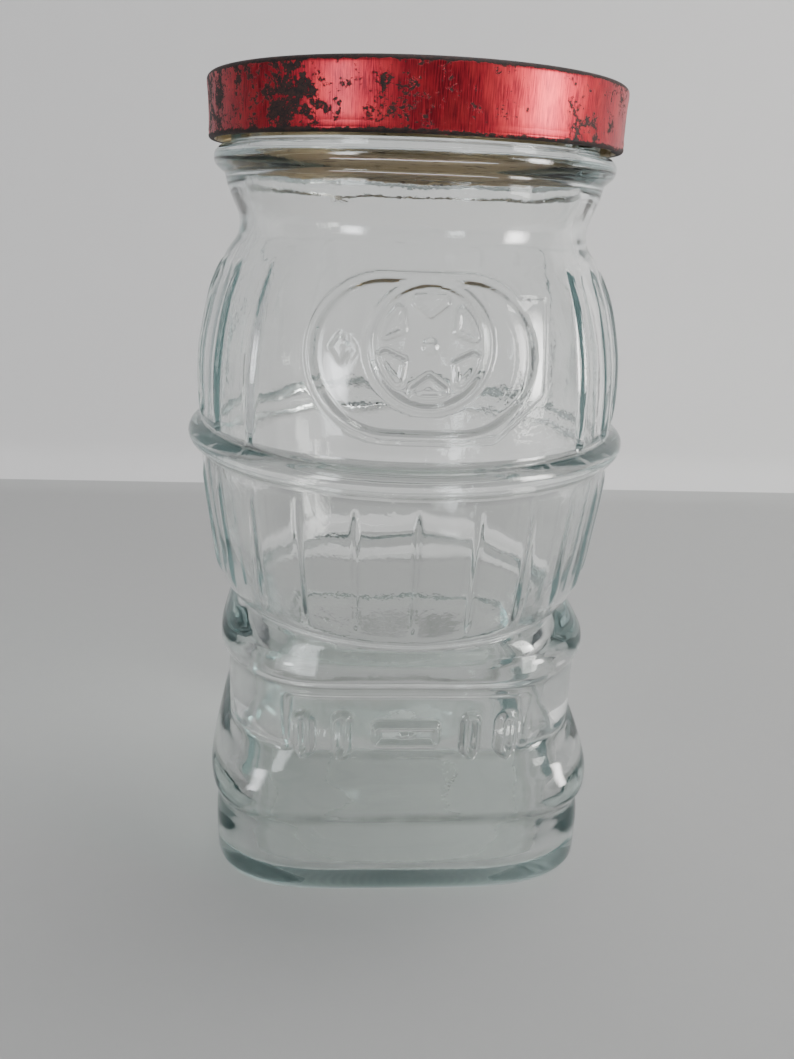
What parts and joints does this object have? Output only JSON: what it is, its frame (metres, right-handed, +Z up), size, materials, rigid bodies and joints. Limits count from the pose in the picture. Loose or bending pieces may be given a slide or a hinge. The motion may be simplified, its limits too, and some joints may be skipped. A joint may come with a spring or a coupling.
{
  "type": "coin bank jar",
  "caption": "Clear glass jar moulded as a pot-bellied stove, with a red metal twist-off lid that has a coin slot.",
  "frame": {"origin": "middle of the base, on the surface that the jar stands on", "axes": "+Z up through the lid, -Y out of the front with the fire door, +X to the right seen from the front"},
  "size_m": [0.084, 0.084, 0.1454],
  "materials": {
    "glass": "clear pressed glass with a faint green-blue tint at its edges",
    "lacquered_tin": "translucent red lacquer over tinplate, worn and speckled with rust",
    "seal": "soft tan sealing compound"
  },
  "bodies": {
    "jar": {"glass_jar": "glass"},
    "seal": {"seal_ring": "seal"},
    "lid": {"lid": "lacquered_tin"}
  },
  "joints": [
    {"name": "lid_rise", "type": "slide", "parent": "jar", "child": "seal", "axis": [0, 0, 1], "range_m": [0, 0.0128]},
    {"name": "lid_turn", "type": "hinge", "parent": "seal", "child": "lid", "pos_m": [0, 0, 0.14], "axis": [0, 0, 1], "range_deg": [0, 420]}
  ],
  "couplings": [
    {"joint": "lid_rise", "follows": "lid_turn", "m_per_rad": 0.00174}
  ]
}
